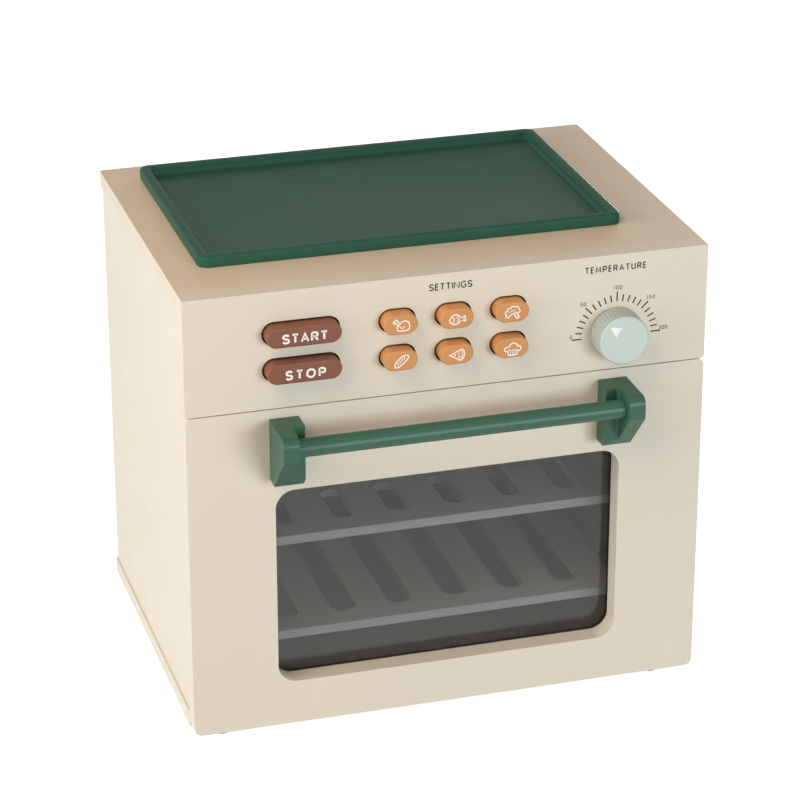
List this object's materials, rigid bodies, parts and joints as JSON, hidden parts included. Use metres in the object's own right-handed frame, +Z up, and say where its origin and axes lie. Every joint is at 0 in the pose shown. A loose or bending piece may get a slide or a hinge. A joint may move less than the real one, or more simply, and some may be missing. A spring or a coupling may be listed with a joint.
{
  "type": "toy oven",
  "caption": "Table-top play oven: painted board cabinet with a drop-down glazed door and bar handle, push buttons, a temperature knob, slotted shelves, rubber feet and a loose baking tray.",
  "frame": {"origin": "middle of the footprint, handle included, on the surface the rubber feet stand on", "axes": "+X to the oven's right as seen from the front, along its width; +Y from the door to the back; +Z up"},
  "size_m": [0.34, 0.284, 0.3174],
  "materials": {
    "cream_paint": "satin paint on board",
    "cream_shelf_paint": "satin paint on thin board",
    "green_tray_paint": "gloss paint",
    "green_handle_paint": "satin paint",
    "brown_paint": "satin paint",
    "tan_paint": "satin paint",
    "pale_green_paint": "satin paint",
    "smoked_acrylic": "clear smoked, glossy",
    "gasket_rubber": "matt",
    "foot_rubber": "matt",
    "bare_wood": "unfinished",
    "white_plastic": "moulded",
    "zinc_screw": "zinc plated",
    "hinge_steel": "bright",
    "spring_steel": "bright wire",
    "ferrite": "sintered, dark grey"
  },
  "bodies": {
    "cabinet": {"base_panel": "cream_paint", "left_side_panel": "cream_paint", "right_side_panel": "cream_paint", "top_panel": "cream_paint", "back_panel": "cream_paint", "control_panel": "cream_paint", "cavity_ceiling": "cream_paint", "upper_shelf": "cream_shelf_paint", "lower_shelf": "cream_shelf_paint", "carcass_dowels": "bare_wood", "base_screws": "zinc_screw", "back_panel_screws": "zinc_screw", "rubber_feet": "foot_rubber", "foot_screws": "zinc_screw", "button_housing": "white_plastic", "housing_screws": "zinc_screw", "knob_bush": "white_plastic", "magnet_catch_body": "white_plastic", "catch_magnet": "ferrite", "catch_pole_plates": "hinge_steel", "catch_screws": "zinc_screw", "left_hinge_base_leaf": "hinge_steel", "right_hinge_base_leaf": "hinge_steel", "hinge_pins": "hinge_steel", "hinge_base_screws": "zinc_screw", "start_springs": "spring_steel", "stop_springs": "spring_steel", "chicken_spring": "spring_steel", "fish_spring": "spring_steel", "broccoli_spring": "spring_steel", "bread_spring": "spring_steel", "pizza_spring": "spring_steel", "cupcake_spring": "spring_steel"},
    "door": {"door_panel": "cream_paint", "window_pane": "smoked_acrylic", "window_gasket": "gasket_rubber", "pane_screws": "zinc_screw", "handle_bar": "green_handle_paint", "left_handle_bracket": "green_handle_paint", "right_handle_bracket": "green_handle_paint", "handle_screws": "zinc_screw", "strike_plate": "hinge_steel", "strike_screws": "zinc_screw", "left_hinge_door_leaf": "hinge_steel", "right_hinge_door_leaf": "hinge_steel", "hinge_door_screws": "zinc_screw"},
    "start": {"start_button": "brown_paint"},
    "stop": {"stop_button": "brown_paint"},
    "chicken": {"chicken_button": "tan_paint"},
    "fish": {"fish_button": "tan_paint"},
    "broccoli": {"broccoli_button": "tan_paint"},
    "bread": {"bread_button": "tan_paint"},
    "pizza": {"pizza_button": "tan_paint"},
    "cupcake": {"cupcake_button": "tan_paint"},
    "knob": {"temperature_knob": "pale_green_paint", "knob_spindle": "hinge_steel", "spindle_washer": "zinc_screw", "spindle_screw": "zinc_screw"},
    "tray": {"baking_tray": "green_tray_paint"}
  },
  "joints": [
    {"name": "door_hinge", "type": "hinge", "parent": "cabinet", "child": "door", "pos_m": [0, -0.0954, 0.013], "axis": [1, 0, 0], "range_deg": [0, 80]},
    {"name": "start_press", "type": "slide", "parent": "cabinet", "child": "start", "axis": [0, 1, 0], "range_m": [0, 0.004], "stiffness_N_per_m": 500, "springref_m": -0.002, "deforming": ["start_springs"]},
    {"name": "stop_press", "type": "slide", "parent": "cabinet", "child": "stop", "axis": [0, 1, 0], "range_m": [0, 0.004], "stiffness_N_per_m": 500, "springref_m": -0.002, "deforming": ["stop_springs"]},
    {"name": "chicken_press", "type": "slide", "parent": "cabinet", "child": "chicken", "axis": [0, 1, 0], "range_m": [0, 0.004], "stiffness_N_per_m": 250, "springref_m": -0.002, "deforming": ["chicken_spring"]},
    {"name": "fish_press", "type": "slide", "parent": "cabinet", "child": "fish", "axis": [0, 1, 0], "range_m": [0, 0.004], "stiffness_N_per_m": 250, "springref_m": -0.002, "deforming": ["fish_spring"]},
    {"name": "broccoli_press", "type": "slide", "parent": "cabinet", "child": "broccoli", "axis": [0, 1, 0], "range_m": [0, 0.004], "stiffness_N_per_m": 250, "springref_m": -0.002, "deforming": ["broccoli_spring"]},
    {"name": "bread_press", "type": "slide", "parent": "cabinet", "child": "bread", "axis": [0, 1, 0], "range_m": [0, 0.004], "stiffness_N_per_m": 250, "springref_m": -0.002, "deforming": ["bread_spring"]},
    {"name": "pizza_press", "type": "slide", "parent": "cabinet", "child": "pizza", "axis": [0, 1, 0], "range_m": [0, 0.004], "stiffness_N_per_m": 250, "springref_m": -0.002, "deforming": ["pizza_spring"]},
    {"name": "cupcake_press", "type": "slide", "parent": "cabinet", "child": "cupcake", "axis": [0, 1, 0], "range_m": [0, 0.004], "stiffness_N_per_m": 250, "springref_m": -0.002, "deforming": ["cupcake_spring"]},
    {"name": "knob_turn", "type": "hinge", "parent": "cabinet", "child": "knob", "pos_m": [0.1093, -0.106, 0.2579], "axis": [0, 1, 0], "range_deg": [-45, 135]},
    {"name": "tray_lift", "type": "slide", "parent": "cabinet", "child": "tray", "axis": [0, 0, 1], "range_m": [0, 0.05]}
  ]
}
